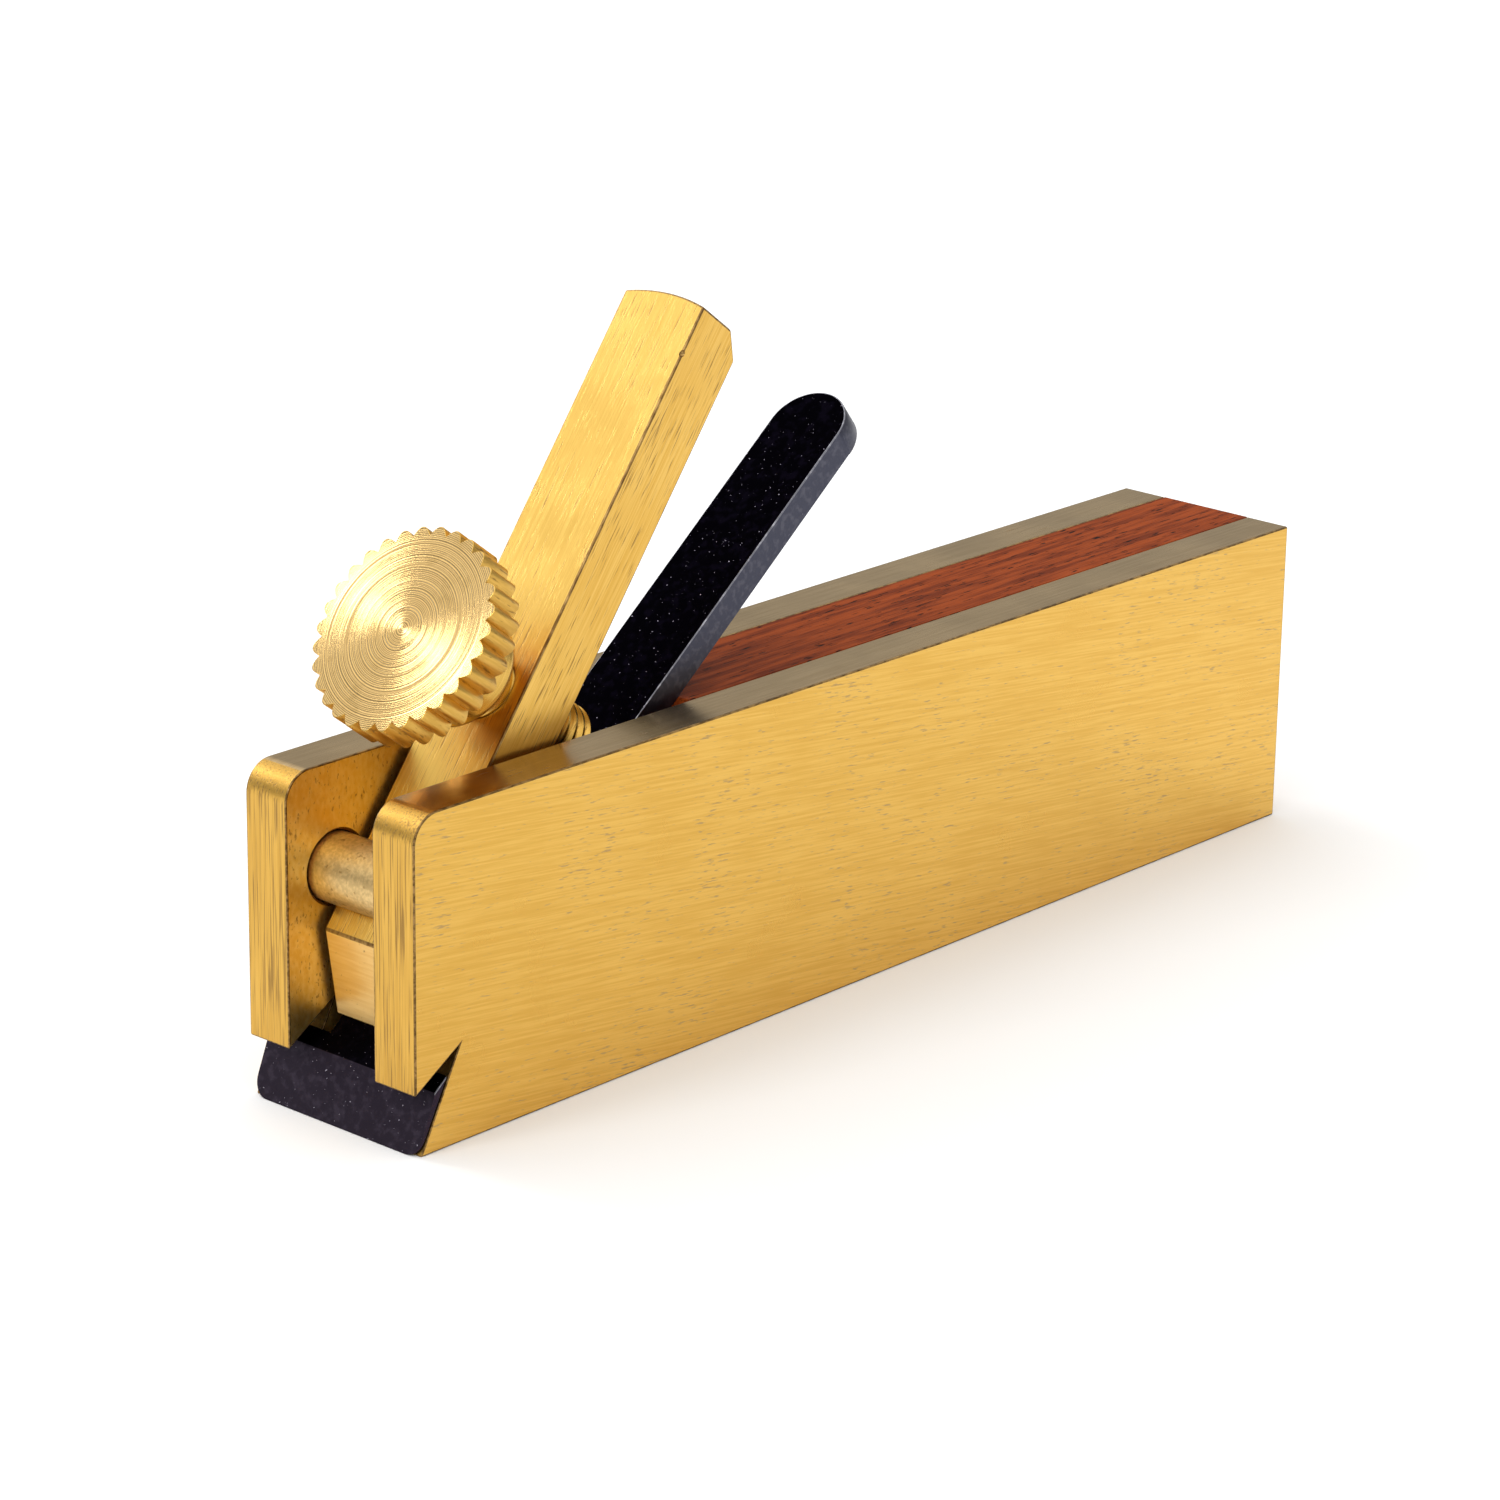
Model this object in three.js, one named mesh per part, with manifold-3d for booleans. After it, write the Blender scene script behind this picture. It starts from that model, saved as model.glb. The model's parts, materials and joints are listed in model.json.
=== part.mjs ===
// A small brass bullnose plane with a rosewood infill, in millimetres, +Z up.
//
// Two cheek plates hold a sole bar and a wooden infill between them on cross dowels. A flat
// T-shaped iron lies on the sloping bed that the bar and the infill make. A straight lever cap
// hooks under a fulcrum pin, presses the iron down with its nose, and is tightened by a
// thumbscrew that bears on the iron further up.
//
// The toe points to -Y, the heel to +Y. The origin is under the middle of the sole.

import * as THREE from "three";
import { mergeVertices } from "three/addons/utils/BufferGeometryUtils.js";
import Module from "manifold-3d";

const wasm = await Module();
wasm.setup();

// ---------- Driving dimensions (mm, degrees) ----------

// Body
const bodyLength = 76;
const bodyHeight = 19;
const cheekThickness = 3.1;
const channelWidth = 6.5;
const topCornerRadius = 1.7;
const soleBarHeight = 5;
const soleTipHeight = 0.3;

// Cutting iron, measured from its edge up the bed
const bedAngle = 38.2;
const ironThickness = 1.8;
const ironLength = 51.2;
const bevelAngle = 30;
const edgeSetback = 0.1;
const edgeAboveSole = 0.03;
const edgeLand = 0.23;
const edgeCornerRadius = 1;

// Mouth, cut through both cheeks behind the head of the iron
const mouthRearAngle = 62.5;
const mouthRoofAngle = 31.8;
const mouthHeadroom = 1.4;

// Fulcrum pin
const pinRadius = 1.95;
const pinFromFront = 3.6;
const pinHeight = 13;

// Lever cap, measured along its front face from the foot of the fulcrum pin
const leverAngle = 53.3;
const leverThickness = 4.1;
const leverTopFromPin = 35.85;
const pinAboveFace = 0.84;
const noseAngle = 45.8;
const toeDepth = 0.39;
const topChamfer = 1.65;
const topEndRise = 0.37;

// Thumbscrew
const knobAboveCheeks = 1.53;
const studRadius = 2;
const studTipRadius = 0.8;
const spigotShoulder = 0.5;
const spigotLength = 3.3;
const collarBase = 1.4;
const collarRadius = 3.4;
const collarEdgeRadius = 0.8;
const headBase = 5.2;
const headThickness = 2.24;
const headRadius = 5.9;
const toothCount = 30;
const toothDepth = 0.5;

// Cross dowels
const soleDowelRadius = 1;
const infillDowelRadius = 1.5;
const dowelInset = 11;
const infillDowelInset = 5.5;

// Seats and clearances
const pinSeatDepth = 2;
const seatEndGap = 0.1;
const seatChamfer = 0.15;
const pinClearance = 0.15;
const grooveClearance = 0.1;
const dowelClearance = 0.05;
const bedClearance = 0.05;
const shoulderClearance = 0.15;
const leverSideClearance = 0.35;
const tangSideClearance = 0.75;
const threadClearance = 0.05;
const spigotClearance = 0.05;
const noseClearance = 0.05;

// ---------- Sizes worked out from them ----------

const radians = THREE.MathUtils.degToRad;
const bodyWidth = channelWidth + 2 * cheekThickness;
const leverWidth = channelWidth - 2 * leverSideClearance;
const tangWidth = channelWidth - 2 * tangSideClearance;
const pinLength = channelWidth + 2 * (pinSeatDepth - seatEndGap);
const pinCentre = new THREE.Vector2(pinFromFront, pinHeight);

const overlap = 1;
const pinSegments = 32;
const knobSegments = 60;
const arcSegments = 8;

/** A unit vector in the side view (y, z) at an angle above level. */
const heading = (degrees) => new THREE.Vector2(Math.cos(radians(degrees)), Math.sin(radians(degrees)));

/** The point on a side-view line, given by a point and a heading, where another line crosses it. */
function crossing(point, angle, otherPoint, otherAngle) {
  const along = heading(angle);
  const across = heading(otherAngle + 90);
  const distance = otherPoint.clone().sub(point).dot(across) / along.dot(across);
  return point.clone().addScaledVector(along, distance);
}

// Side-view lines, as a point on each: the iron's edge and top face, and the bed under it.
const edge = new THREE.Vector2(edgeSetback, edgeAboveSole);
const ironTop = edge.clone().addScaledVector(heading(bedAngle + 90), ironThickness);
const bed = edge.clone().addScaledVector(heading(bedAngle + 90), -bedClearance);

/** The point of the bed at a height above the sole. */
const bedAt = (height) => crossing(new THREE.Vector2(0, height), 0, bed, bedAngle);

// The iron's rear shoulder rises from the end of the land under its edge, parallel to the
// mouth's rear wall, which stands behind it by the shoulder clearance.
const shoulderFoot = edge.clone().addScaledVector(heading(bedAngle), edgeLand);
const mouthWall = shoulderFoot.clone().addScaledVector(heading(mouthRearAngle - 90), shoulderClearance);
const mouthTip = crossing(new THREE.Vector2(0, 0), 0, mouthWall, mouthRearAngle);
const mouthApex = crossing(mouthWall, mouthRearAngle, ironTop, bedAngle)
  .addScaledVector(heading(mouthRearAngle), mouthHeadroom);
const mouthRoofFront = crossing(new THREE.Vector2(0, 0), 90, mouthApex, mouthRoofAngle);

// The lever's own frame starts where a square line from the pin's centre meets its front face.
const pinFoot = pinCentre.clone().addScaledVector(heading(leverAngle + 90), -pinAboveFace);

// The screw stands far enough up the lever for the lowest point of its head to clear the cheeks.
const headLowest = pinFoot.y + headBase * Math.cos(radians(leverAngle))
  - headRadius * Math.sin(radians(leverAngle));
const screwFromPin = (bodyHeight + knobAboveCheeks - headLowest) / Math.sin(radians(leverAngle));

/** A side-view point in the lever's own frame: along its face, and outwards from it. */
function inLever(point) {
  const offset = point.clone().sub(pinFoot);
  return new THREE.Vector2(offset.dot(heading(leverAngle)), offset.dot(heading(leverAngle + 90)));
}

// The iron's top face in the lever's frame, where it sets the lever's toe and the stud's tip.
const rest = inLever(ironTop.clone().addScaledVector(heading(bedAngle + 90), noseClearance));
const restSlope = bedAngle - leverAngle;
const noseDrop = leverThickness - toeDepth;
const toeFront = crossing(new THREE.Vector2(0, -noseDrop), 0, rest, restSlope);
const toeBack = crossing(new THREE.Vector2(0, -leverThickness), 0, rest, restSlope);
const noseCorner = new THREE.Vector2(toeFront.x + noseDrop / Math.tan(radians(noseAngle)), 0);
const studTip = crossing(new THREE.Vector2(screwFromPin - studTipRadius, 0), 90, rest, restSlope).y;

// ---------- Solids ----------

const xAxis = new THREE.Vector3(1, 0, 0);
const yAxis = new THREE.Vector3(0, 1, 0);
const zAxis = new THREE.Vector3(0, 0, 1);

/** The closed solid of a geometry, with its shared corners merged. */
function solid(geometry) {
  geometry.deleteAttribute("normal");
  geometry.deleteAttribute("uv");
  const merged = mergeVertices(geometry);
  const corners = merged.index.array;
  const faces = [];
  for (let i = 0; i < corners.length; i += 3) {
    const [a, b, c] = corners.slice(i, i + 3);
    if (a !== b && b !== c && c !== a) faces.push(a, b, c);
  }
  const vertProperties = merged.attributes.position.array;
  return new wasm.Manifold(new wasm.Mesh({ numProp: 3, vertProperties, triVerts: new Uint32Array(faces) }));
}

/** A solid's faces as a geometry with flat normals. */
function faceted(body) {
  const mesh = body.getMesh();
  const indexed = new THREE.BufferGeometry();
  indexed.setAttribute("position", new THREE.BufferAttribute(mesh.vertProperties, 3));
  indexed.setIndex(new THREE.BufferAttribute(mesh.triVerts, 1));
  const geometry = indexed.toNonIndexed();
  geometry.computeVertexNormals();
  return geometry;
}

/** A straight extrusion of an outline from one height to another. */
function prism(outline, from, to) {
  const options = { depth: to - from, bevelEnabled: false, curveSegments: arcSegments };
  return new THREE.ExtrudeGeometry(outline, options).translate(0, 0, from);
}

/** A side-view outline (y, z) extruded across the width, centred. */
function acrossWidth(outline, width) {
  const turned = new THREE.Matrix4().makeBasis(yAxis, zAxis, xAxis);
  return solid(prism(outline, -width / 2, width / 2).applyMatrix4(turned));
}

/** A profile of (radius, height) points turned about Z. */
const turnedPiece = (profile, segments) => new THREE.LatheGeometry(profile, segments).rotateX(Math.PI / 2);

/** A round bar along X, centred, with chamfered ends. */
function crossBar(radius, length, chamfer) {
  const half = length / 2;
  const profile = [
    [0, -half], [radius - chamfer, -half], [radius, chamfer - half],
    [radius, half - chamfer], [radius - chamfer, half], [0, half],
  ].map(([r, h]) => new THREE.Vector2(r, h));
  return solid(turnedPiece(profile, pinSegments).rotateY(Math.PI / 2));
}

/** The cutter of a pair of blind seats that face each other across the channel. */
function seatCutter(radius, openChamfer) {
  const mouth = channelWidth / 2;
  const end = mouth + pinSeatDepth;
  const wide = radius + openChamfer;
  const profile = [
    [0, -end], [radius, -end], [radius, -mouth - openChamfer], [wide, -mouth],
    [wide, mouth], [radius, mouth + openChamfer], [radius, end], [0, end],
  ].map(([r, h]) => new THREE.Vector2(r, h));
  return solid(turnedPiece(profile, pinSegments).rotateY(Math.PI / 2));
}

// ---------- Finishes ----------

const finish = (color, roughness, metalness) =>
  new THREE.MeshStandardMaterial({ color, roughness, metalness });
const brushedBrass = finish(0xc89b4a, 0.35, 1);
const turnedBrass = finish(0xcda455, 0.28, 1);
const dullBrass = finish(0x9c7a45, 0.5, 1);
const blackOxide = finish(0x1d1c20, 0.45, 0.6);
const rosewood = finish(0x7d3b20, 0.55, 0);

/** A named mesh of a solid. */
function piece(name, body, material) {
  const mesh = new THREE.Mesh(faceted(body), material);
  mesh.name = name;
  return mesh;
}

// ---------- Body ----------

const dowels = [
  {
    name: "front_sole_dowel",
    radius: soleDowelRadius,
    y: bedAt(soleBarHeight).x + dowelInset,
    z: soleBarHeight / 2,
  },
  { name: "rear_sole_dowel", radius: soleDowelRadius, y: bodyLength - dowelInset, z: soleBarHeight / 2 },
  { name: "front_infill_dowel", radius: infillDowelRadius, y: bedAt(bodyHeight).x + infillDowelInset },
  { name: "rear_infill_dowel", radius: infillDowelRadius, y: bodyLength - dowelInset },
].map((dowel) => ({ z: (soleBarHeight + bodyHeight) / 2, ...dowel }));

/** The side outline of a cheek: a plate with a rounded top front corner and the mouth cut away. */
function cheekOutline() {
  const outline = new THREE.Shape();
  outline.moveTo(mouthTip.x, 0);
  outline.lineTo(bodyLength, 0);
  outline.lineTo(bodyLength, bodyHeight);
  outline.lineTo(topCornerRadius, bodyHeight);
  outline.absarc(topCornerRadius, bodyHeight - topCornerRadius, topCornerRadius, Math.PI / 2, Math.PI);
  outline.lineTo(0, mouthRoofFront.y);
  outline.lineTo(mouthApex.x, mouthApex.y);
  return outline;
}

/** One cheek plate, on the side that the sign names, with blind seats for the pin and dowels. */
function cheek(side) {
  let plate = acrossWidth(cheekOutline(), cheekThickness);
  plate = plate.translate((side * (channelWidth + cheekThickness)) / 2, 0, 0);
  const pinSeat = seatCutter(pinRadius + pinClearance, seatChamfer);
  plate = plate.subtract(pinSeat.translate(0, pinCentre.x, pinCentre.y));
  for (const { radius, y, z } of dowels) {
    plate = plate.subtract(seatCutter(radius + dowelClearance, 0).translate(0, y, z));
  }
  return plate;
}

/** A core piece between the cheeks from one height to another, cut to the bed at its front. */
function core(bottom, top, tip) {
  const outline = new THREE.Shape();
  outline.moveTo(bedAt(bottom + tip).x, bottom);
  outline.lineTo(bodyLength, bottom);
  outline.lineTo(bodyLength, top);
  outline.lineTo(bedAt(top).x, top);
  if (tip > 0) outline.lineTo(bedAt(bottom + tip).x, bottom + tip);
  let block = acrossWidth(outline, channelWidth);
  for (const { radius, y, z } of dowels) {
    if (z < bottom || z > top) continue;
    const hole = crossBar(radius + dowelClearance, channelWidth + 2 * overlap, 0);
    block = block.subtract(hole.translate(0, y, z));
  }
  return block;
}

const stock = new THREE.Group();
stock.add(
  piece("right_cheek", cheek(1), brushedBrass),
  piece("left_cheek", cheek(-1), brushedBrass),
  piece("sole_bar", core(0, soleBarHeight, soleTipHeight), brushedBrass),
  piece("rosewood_infill", core(soleBarHeight, bodyHeight, 0), rosewood),
);

const fulcrumPin = piece("fulcrum_pin", crossBar(pinRadius, pinLength, seatChamfer), dullBrass);
fulcrumPin.position.set(0, pinCentre.x, pinCentre.y);
stock.add(fulcrumPin);

for (const { name, radius, y, z } of dowels) {
  const dowel = piece(name, crossBar(radius, pinLength, seatChamfer), dullBrass);
  dowel.position.set(0, y, z);
  stock.add(dowel);
}

// ---------- Cutting iron ----------

/** The iron's T outline in plan: a head as wide as the body, and a tang with a round end. */
function ironPlan(shoulderEnd) {
  const head = bodyWidth / 2;
  const tang = tangWidth / 2;
  const outline = new THREE.Shape();
  outline.moveTo(-head + edgeCornerRadius, 0);
  outline.lineTo(head - edgeCornerRadius, 0);
  outline.absarc(head - edgeCornerRadius, edgeCornerRadius, edgeCornerRadius, -Math.PI / 2, 0);
  outline.lineTo(head, shoulderEnd);
  outline.lineTo(tang, shoulderEnd);
  outline.lineTo(tang, ironLength - tang);
  outline.absarc(0, ironLength - tang, tang, 0, Math.PI);
  outline.lineTo(-tang, shoulderEnd);
  outline.lineTo(-head, shoulderEnd);
  outline.lineTo(-head, edgeCornerRadius);
  outline.absarc(-head + edgeCornerRadius, edgeCornerRadius, edgeCornerRadius, Math.PI, 1.5 * Math.PI);
  return outline;
}

/** The iron in its own frame: +Y up the bed from the edge, +Z away from the bed. */
function iron() {
  const ridge = ironThickness / Math.tan(radians(bevelAngle));
  const shoulderEnd = edgeLand + ironThickness / Math.tan(radians(mouthRearAngle - bedAngle));
  const head = new THREE.Shape();
  head.moveTo(0, 0);
  head.lineTo(edgeLand, 0);
  head.lineTo(shoulderEnd, ironThickness);
  head.lineTo(ridge, ironThickness);
  const tang = new THREE.Shape();
  tang.moveTo(0, 0);
  tang.lineTo(ironLength + overlap, 0);
  tang.lineTo(ironLength + overlap, ironThickness);
  tang.lineTo(ridge, ironThickness);
  const sections = acrossWidth(head, bodyWidth).add(acrossWidth(tang, tangWidth));
  return solid(prism(ironPlan(shoulderEnd), -overlap, ironThickness + overlap)).intersect(sections);
}

const ironFrame = new THREE.Group();
ironFrame.position.set(0, edge.x, edge.y);
ironFrame.rotation.x = radians(bedAngle);
ironFrame.add(piece("cutting_iron", iron(), blackOxide));

// ---------- Lever cap and thumbscrew ----------

/** The lever's side outline: nose face, toe on the iron, back, chamfer and square top end. */
function leverOutline() {
  const outline = new THREE.Shape();
  outline.moveTo(noseCorner.x, noseCorner.y);
  outline.lineTo(toeFront.x, toeFront.y);
  outline.lineTo(toeBack.x, toeBack.y);
  outline.lineTo(leverTopFromPin - topChamfer, -leverThickness);
  outline.lineTo(leverTopFromPin, topChamfer - leverThickness);
  outline.lineTo(leverTopFromPin, 0);
  return outline;
}

/** The lever's plan outline, whose top end is a shallow arc. */
function leverPlan() {
  const half = leverWidth / 2;
  const radius = (half * half + topEndRise * topEndRise) / (2 * topEndRise);
  const sweep = Math.asin(half / radius);
  const foot = toeFront.x - overlap;
  const outline = new THREE.Shape();
  outline.moveTo(-half, foot);
  outline.lineTo(half, foot);
  outline.absarc(0, leverTopFromPin - radius, radius, Math.PI / 2 - sweep, Math.PI / 2 + sweep);
  return outline;
}

/** The lever in its own frame: +Y up its face from the pin's foot, +Z out of the face. */
function lever() {
  const bar = acrossWidth(leverOutline(), leverWidth)
    .intersect(solid(prism(leverPlan(), -leverThickness - overlap, overlap)));
  const groove = crossBar(pinRadius + grooveClearance, leverWidth + 2 * overlap, 0);
  const tappedHole = new THREE.CylinderGeometry(
    studRadius + threadClearance, studRadius + threadClearance, leverThickness + 2 * overlap, pinSegments);
  tappedHole.rotateX(Math.PI / 2);
  return bar
    .subtract(groove.translate(0, 0, pinAboveFace))
    .subtract(solid(tappedHole).translate(0, screwFromPin, -leverThickness / 2));
}

/** The stud about its own axis: a chamfered tip, the threaded length and a spigot in the knob. */
function stud() {
  const chamfer = studRadius - studTipRadius;
  const spigot = studRadius - spigotShoulder;
  const profile = [
    [0, studTip], [studTipRadius, studTip], [studRadius, studTip + chamfer], [studRadius, collarBase],
    [spigot, collarBase], [spigot, collarBase + spigotLength], [0, collarBase + spigotLength],
  ].map(([r, h]) => new THREE.Vector2(r, h));
  return solid(turnedPiece(profile, pinSegments));
}

/** The head's plan outline, with evenly spaced round-topped teeth. */
function toothedOutline() {
  const pointsPerTooth = 6;
  const steps = toothCount * pointsPerTooth;
  const points = [];
  for (let i = 0; i < steps; i += 1) {
    const phase = (i % pointsPerTooth) / pointsPerTooth;
    const radius = headRadius - toothDepth * (1 - Math.abs(Math.cos(Math.PI * phase)));
    const angle = (2 * Math.PI * i) / steps;
    points.push(new THREE.Vector2(radius * Math.cos(angle), radius * Math.sin(angle)));
  }
  return new THREE.Shape(points);
}

/** The knob about the screw axis: a round-edged collar, a toothed head and a blind bore. */
function knob() {
  const base = collarBase + spigotClearance;
  const profile = [new THREE.Vector2(0, base)];
  for (let i = 0; i <= arcSegments; i += 1) {
    const turn = (Math.PI / 2) * (i / arcSegments);
    const radius = collarRadius - collarEdgeRadius * (1 - Math.sin(turn));
    profile.push(new THREE.Vector2(radius, base + collarEdgeRadius * (1 - Math.cos(turn))));
  }
  profile.push(
    new THREE.Vector2(collarRadius, headBase + overlap),
    new THREE.Vector2(0, headBase + overlap),
  );
  const collar = solid(turnedPiece(profile, knobSegments));
  const head = solid(prism(toothedOutline(), headBase, headBase + headThickness));
  const boreRadius = studRadius - spigotShoulder + spigotClearance;
  const boreEnd = collarBase + spigotLength + seatEndGap;
  const bore = new THREE.CylinderGeometry(boreRadius, boreRadius, boreEnd - base + overlap, pinSegments);
  bore.rotateX(Math.PI / 2).translate(0, 0, (boreEnd + base - overlap) / 2);
  return collar.add(head).subtract(solid(bore));
}

const leverFrame = new THREE.Group();
leverFrame.position.set(0, pinFoot.x, pinFoot.y);
leverFrame.rotation.x = radians(leverAngle);
leverFrame.add(piece("lever_cap", lever(), brushedBrass));

const thumbscrew = new THREE.Group();
thumbscrew.position.y = screwFromPin;
thumbscrew.add(piece("threaded_stud", stud(), turnedBrass), piece("knurled_knob", knob(), turnedBrass));
leverFrame.add(thumbscrew);

// ---------- The whole plane, measured from the front faces of the cheeks ----------

const fromFront = new THREE.Group();
fromFront.position.y = -bodyLength / 2;
fromFront.add(stock, ironFrame, leverFrame);

const plane = new THREE.Group();
plane.add(fromFront);

export default plane;
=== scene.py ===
"""A small brass plane: rosewood between two cheeks, a blackened iron, and a lever cap with a thumbscrew.

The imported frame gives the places, the angles and the outer sizes. Each sub-assembly makes its fine meshes
in millimetres, in its own working frame, and places them in the frame's metres. A side view is (y, z),
with y running back from the front faces and z up from the sole.
"""

import json
import logging
import math
from collections.abc import Callable
from dataclasses import dataclass, field
from enum import Enum, IntEnum
from itertools import pairwise

import bmesh
import bpy
from mathutils import Matrix, Vector

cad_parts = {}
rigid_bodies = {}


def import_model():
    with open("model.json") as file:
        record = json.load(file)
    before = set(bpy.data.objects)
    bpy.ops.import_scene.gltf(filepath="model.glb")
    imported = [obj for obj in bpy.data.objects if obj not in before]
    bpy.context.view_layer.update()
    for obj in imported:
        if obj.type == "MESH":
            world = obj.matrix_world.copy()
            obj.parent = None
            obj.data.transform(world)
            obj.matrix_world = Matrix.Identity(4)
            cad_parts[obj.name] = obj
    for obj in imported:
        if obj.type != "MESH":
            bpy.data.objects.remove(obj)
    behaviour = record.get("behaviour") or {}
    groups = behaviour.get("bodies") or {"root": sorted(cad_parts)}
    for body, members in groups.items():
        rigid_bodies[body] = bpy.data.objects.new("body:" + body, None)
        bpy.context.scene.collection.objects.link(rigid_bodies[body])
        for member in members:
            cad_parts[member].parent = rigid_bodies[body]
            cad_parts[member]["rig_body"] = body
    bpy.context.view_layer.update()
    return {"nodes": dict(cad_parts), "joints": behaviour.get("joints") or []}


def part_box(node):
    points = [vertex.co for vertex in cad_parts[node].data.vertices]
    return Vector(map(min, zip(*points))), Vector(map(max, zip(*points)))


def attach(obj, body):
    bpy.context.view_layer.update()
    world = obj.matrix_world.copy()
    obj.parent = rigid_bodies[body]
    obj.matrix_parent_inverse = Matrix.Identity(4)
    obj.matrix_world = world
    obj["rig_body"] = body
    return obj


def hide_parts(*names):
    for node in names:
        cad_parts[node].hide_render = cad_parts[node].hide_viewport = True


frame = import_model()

log = logging.getLogger("plane")

Point = tuple[float, float]
Colour = tuple[float, float, float]

SWATCH = "swatch_"
DOWEL = "_dowel"

# Lengths: metres in a millimetre, how far a cutter runs past what it cuts, and what counts as touching.
MM = 0.001
OVERLAP = 1.0
TOUCH = 0.01

# How many flats stand for a full turn, for a corner's quarter turn, and for a shallow arc.
SHOWN_FLATS = 96
HIDDEN_FLATS = 32
COLLAR_FLATS = 120
THREAD_FLATS = 48
CORNER_FLATS = 12
SHALLOW_FLATS = 16

# Angles between faces: those of one plane, of an edge to ease, of a wedge too thin to, and of a crease.
# An edge to ease is sharper than the ridge of the iron's 30 degree bevel, which stays crisp.
FLAT_ANGLE = math.radians(0.5)
EASED_ANGLE = math.radians(31)
WEDGE_ANGLE = math.radians(140)
CREASE_ANGLE = math.radians(35)

# Shares of a face's normal along an axis: that of a face square to it, and of one clearly tilted to it.
SQUARE = 0.98
TILTED = 0.3


class Zone(IntEnum):
    """The kinds of surface on a piece, each of which takes a finish of its own."""

    MAIN = 0
    ARRIS = 1
    SIDE = 2
    TOP = 3
    FRONT = 4
    INNER = 5
    MOUTH = 6


class Join(Enum):
    """The ways in which one solid is joined with another."""

    CUT = "DIFFERENCE"
    ADD = "UNION"
    KEEP = "INTERSECT"


# ---------- Meshes ----------


def arc(centre: Point, radius: float, start: float, end: float, steps: int) -> list[Point]:
    """Points along an arc."""
    angles = [math.radians(start + (end - start) * i / steps) for i in range(steps + 1)]
    return [(centre[0] + radius * math.cos(a), centre[1] + radius * math.sin(a)) for a in angles]


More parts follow.
